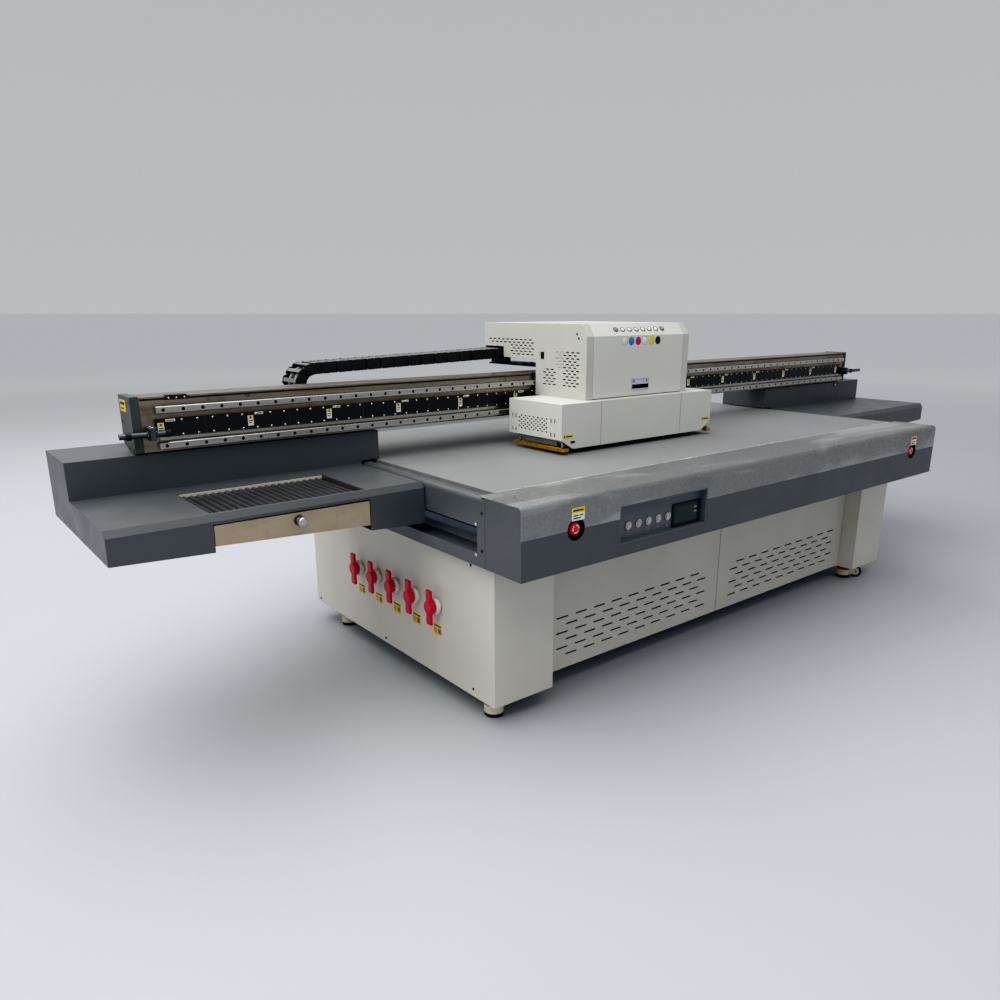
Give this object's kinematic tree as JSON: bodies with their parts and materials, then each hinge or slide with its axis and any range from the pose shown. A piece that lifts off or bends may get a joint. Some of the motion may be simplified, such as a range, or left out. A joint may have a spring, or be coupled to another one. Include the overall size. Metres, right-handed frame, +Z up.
{
  "type": "flatbed uv printer",
  "caption": "Large flatbed UV printer: louvred cabinet with a vacuum table, a gantry beam on side wings and a travelling print carriage fed by a drag chain.",
  "frame": {"origin": "on the floor, under the middle of the machine's overall box", "axes": "+X along the beam to the operator's right, +Y from the front apron to the back, +Z up"},
  "size_m": [4.568, 1.64, 1.28],
  "materials": {
    "frame_paint": "satin dark grey powder coat",
    "table_paint": "satin grey paint",
    "platen_coat": "matt hard-anodised grey, finely perforated",
    "galvanised": "spangled galvanised sheet",
    "apron_paint": "fine textured dark grey powder coat",
    "cabinet_paint": "fine textured light warm grey powder coat",
    "rail_steel": "ground bearing steel",
    "blower_paint": "blue-grey cast housing",
    "pvc_white": "smooth white plastic pipe",
    "box_paint": "satin grey",
    "panel_plastic": "dark grey, fine texture",
    "screen": "dark liquid-crystal window",
    "button_metal": "satin nickel",
    "foot_rubber": "matt black",
    "valve_red": "moulded red plastic",
    "estop_red": "moulded red plastic",
    "caster_ivory": "ivory cast housing",
    "wheel_black": "black nylon wheel",
    "beam_steel": "ground steel, faint brown cast",
    "cap_paint": "dark grey powder coat",
    "magnet_black": "black epoxy cover",
    "bumper_black": "black",
    "leg_paint": "satin grey",
    "wing_paint": "fine textured dark grey powder coat",
    "mat_rubber": "ribbed dark mat",
    "chain_black": "black nylon links",
    "tray_paint": "dark grey sheet",
    "drawer_steel": "brushed stainless, warm cast",
    "slider_metal": "dark anodised plate",
    "head_plate": "machined plate",
    "head_black": "black",
    "lamp_black": "black anodised heat sink",
    "brass": "polished brass",
    "cover_paint": "fine textured off-white powder coat",
    "door_paint": "fine textured off-white powder coat",
    "latch_chrome": "chrome"
  },
  "bodies": {
    "table": {"main_frame": "frame_paint", "table_base": "table_paint", "platen": "platen_coat", "edge_plate": "galvanised", "front_fascia": "apron_paint", "side_covers": "apron_paint", "cabinet_panels": "cabinet_paint", "rear_panel": "cabinet_paint", "y_rails": "rail_steel", "vacuum_blower": "blower_paint", "suction_pipes": "pvc_white", "electrics_box": "box_paint", "control_panel": "panel_plastic", "panel_display": "screen", "switch_bodies": "button_metal", "levelling_feet": "foot_rubber"},
    "gantry": {"beam": "beam_steel", "beam_end_caps": "cap_paint", "x_rails": "rail_steel", "magnet_track": "magnet_black", "end_stops": "bumper_black", "gantry_legs": "leg_paint", "left_wing_cover": "wing_paint", "right_wing_cover": "wing_paint", "catch_mat": "mat_rubber", "cable_chain": "chain_black", "chain_tray": "tray_paint"},
    "slider": {"carriage_plate": "slider_metal"},
    "carriage": {"head_frame": "head_plate", "print_heads": "head_black", "uv_lamps": "lamp_black", "lower_cover": "cover_paint", "upper_cover": "cover_paint"},
    "door_left": {"door_left": "cabinet_paint"},
    "door_right": {"door_right": "cabinet_paint"},
    "estop_left": {"estop_left": "estop_red"},
    "estop_right": {"estop_right": "estop_red"},
    "drawer": {"drawer": "drawer_steel"},
    "service_door": {"service_door": "door_paint"},
    "door_latch": {"door_latch": "latch_chrome"},
    "crash_bar_left": {"crash_bar_left": "brass"},
    "crash_bar_right": {"crash_bar_right": "brass"},
    "valve_handle_1": {"valve_handle_1": "valve_red"},
    "valve_handle_2": {"valve_handle_2": "valve_red"},
    "valve_handle_3": {"valve_handle_3": "valve_red"},
    "valve_handle_4": {"valve_handle_4": "valve_red"},
    "valve_handle_5": {"valve_handle_5": "valve_red"},
    "panel_button_1": {"panel_button_1": "button_metal"},
    "panel_button_2": {"panel_button_2": "button_metal"},
    "panel_button_3": {"panel_button_3": "button_metal"},
    "panel_button_4": {"panel_button_4": "button_metal"},
    "panel_button_5": {"panel_button_5": "button_metal"},
    "caster_fork_1": {"caster_fork_1": "caster_ivory"},
    "caster_fork_2": {"caster_fork_2": "caster_ivory"},
    "caster_fork_3": {"caster_fork_3": "caster_ivory"},
    "caster_fork_4": {"caster_fork_4": "caster_ivory"},
    "caster_wheel_1": {"caster_wheel_1": "wheel_black"},
    "caster_wheel_2": {"caster_wheel_2": "wheel_black"},
    "caster_wheel_3": {"caster_wheel_3": "wheel_black"},
    "caster_wheel_4": {"caster_wheel_4": "wheel_black"}
  },
  "joints": [
    {"name": "gantry_travel", "type": "slide", "parent": "table", "child": "gantry", "axis": [0, 1, 0], "range_m": [-0.49, 0.53]},
    {"name": "carriage_travel", "type": "slide", "parent": "gantry", "child": "slider", "axis": [1, 0, 0], "range_m": [-1.5, 1.875], "deforming": ["cable_chain"]},
    {"name": "carriage_lift", "type": "slide", "parent": "slider", "child": "carriage", "axis": [0, 0, 1], "range_m": [0, 0.1]},
    {"name": "service_door_hinge", "type": "hinge", "parent": "carriage", "child": "service_door", "pos_m": [-0.1825, -0.1985, 1.2785], "axis": [-1, 0, 0], "range_deg": [0, 85]},
    {"name": "latch_flap", "type": "hinge", "parent": "service_door", "child": "door_latch", "pos_m": [-0.177, -0.2355, 1.0545], "axis": [-1, 0, 0], "range_deg": [0, 40], "stiffness_Nm_per_rad": 0.05},
    {"name": "crash_bar_left_press", "type": "slide", "parent": "carriage", "child": "crash_bar_left", "axis": [1, 0, 0], "range_m": [0, 0.006], "stiffness_N_per_m": 1500},
    {"name": "crash_bar_right_press", "type": "slide", "parent": "carriage", "child": "crash_bar_right", "axis": [-1, 0, 0], "range_m": [0, 0.006], "stiffness_N_per_m": 1500},
    {"name": "drawer_slide", "type": "slide", "parent": "gantry", "child": "drawer", "axis": [0, -1, 0], "range_m": [0, 0.25]},
    {"name": "door_left_hinge", "type": "hinge", "parent": "table", "child": "door_left", "pos_m": [-1.01, -0.561, 0.32], "axis": [0, 0, -1], "range_deg": [0, 90]},
    {"name": "door_right_hinge", "type": "hinge", "parent": "table", "child": "door_right", "pos_m": [1.01, -0.561, 0.32], "axis": [0, 0, 1], "range_deg": [0, 90]},
    {"name": "valve_1_turn", "type": "hinge", "parent": "table", "child": "valve_handle_1", "pos_m": [-1.303, 0.222, 0.342], "axis": [1, 0, 0], "range_deg": [0, 90]},
    {"name": "valve_2_turn", "type": "hinge", "parent": "table", "child": "valve_handle_2", "pos_m": [-1.303, 0.08625, 0.342], "axis": [1, 0, 0], "range_deg": [0, 90]},
    {"name": "valve_3_turn", "type": "hinge", "parent": "table", "child": "valve_handle_3", "pos_m": [-1.303, -0.0495, 0.342], "axis": [1, 0, 0], "range_deg": [0, 90]},
    {"name": "valve_4_turn", "type": "hinge", "parent": "table", "child": "valve_handle_4", "pos_m": [-1.303, -0.18525, 0.342], "axis": [1, 0, 0], "range_deg": [0, 90]},
    {"name": "valve_5_turn", "type": "hinge", "parent": "table", "child": "valve_handle_5", "pos_m": [-1.303, -0.321, 0.342], "axis": [1, 0, 0], "range_deg": [0, 90]},
    {"name": "estop_left_press", "type": "slide", "parent": "table", "child": "estop_left", "axis": [0, 1, 0], "range_m": [0, 0.004], "stiffness_N_per_m": 1500},
    {"name": "estop_right_press", "type": "slide", "parent": "table", "child": "estop_right", "axis": [0, 1, 0], "range_m": [0, 0.004], "stiffness_N_per_m": 1500},
    {"name": "button_1_press", "type": "slide", "parent": "table", "child": "panel_button_1", "axis": [0, 1, 0], "range_m": [0, 0.0025], "stiffness_N_per_m": 800},
    {"name": "button_2_press", "type": "slide", "parent": "table", "child": "panel_button_2", "axis": [0, 1, 0], "range_m": [0, 0.0025], "stiffness_N_per_m": 800},
    {"name": "button_3_press", "type": "slide", "parent": "table", "child": "panel_button_3", "axis": [0, 1, 0], "range_m": [0, 0.0025], "stiffness_N_per_m": 800},
    {"name": "button_4_press", "type": "slide", "parent": "table", "child": "panel_button_4", "axis": [0, 1, 0], "range_m": [0, 0.0025], "stiffness_N_per_m": 800},
    {"name": "button_5_press", "type": "slide", "parent": "table", "child": "panel_button_5", "axis": [0, 1, 0], "range_m": [0, 0.0025], "stiffness_N_per_m": 800},
    {"name": "caster_1_swivel", "type": "hinge", "parent": "table", "child": "caster_fork_1", "pos_m": [-1.205, -0.555, 0.065], "axis": [0, 0, 1], "continuous": true},
    {"name": "caster_1_roll", "type": "hinge", "parent": "caster_fork_1", "child": "caster_wheel_1", "pos_m": [-1.15477, -0.526, 0.0315], "axis": [-0.5, 0.866, 0], "continuous": true},
    {"name": "caster_2_swivel", "type": "hinge", "parent": "table", "child": "caster_fork_2", "pos_m": [1.1, -0.555, 0.065], "axis": [0, 0, 1], "continuous": true},
    {"name": "caster_2_roll", "type": "hinge", "parent": "caster_fork_2", "child": "caster_wheel_2", "pos_m": [1.13728, -0.59943, 0.0315], "axis": [0.766, 0.6428, 0], "continuous": true},
    {"name": "caster_3_swivel", "type": "hinge", "parent": "table", "child": "caster_fork_3", "pos_m": [-1.205, 0.48, 0.065], "axis": [0, 0, 1], "continuous": true},
    {"name": "caster_3_roll", "type": "hinge", "parent": "caster_fork_3", "child": "caster_wheel_3", "pos_m": [-1.15477, 0.509, 0.0315], "axis": [-0.5, 0.866, 0], "continuous": true},
    {"name": "caster_4_swivel", "type": "hinge", "parent": "table", "child": "caster_fork_4", "pos_m": [1.1, 0.48, 0.065], "axis": [0, 0, 1], "continuous": true},
    {"name": "caster_4_roll", "type": "hinge", "parent": "caster_fork_4", "child": "caster_wheel_4", "pos_m": [1.13728, 0.43557, 0.0315], "axis": [0.766, 0.6428, 0], "continuous": true}
  ]
}
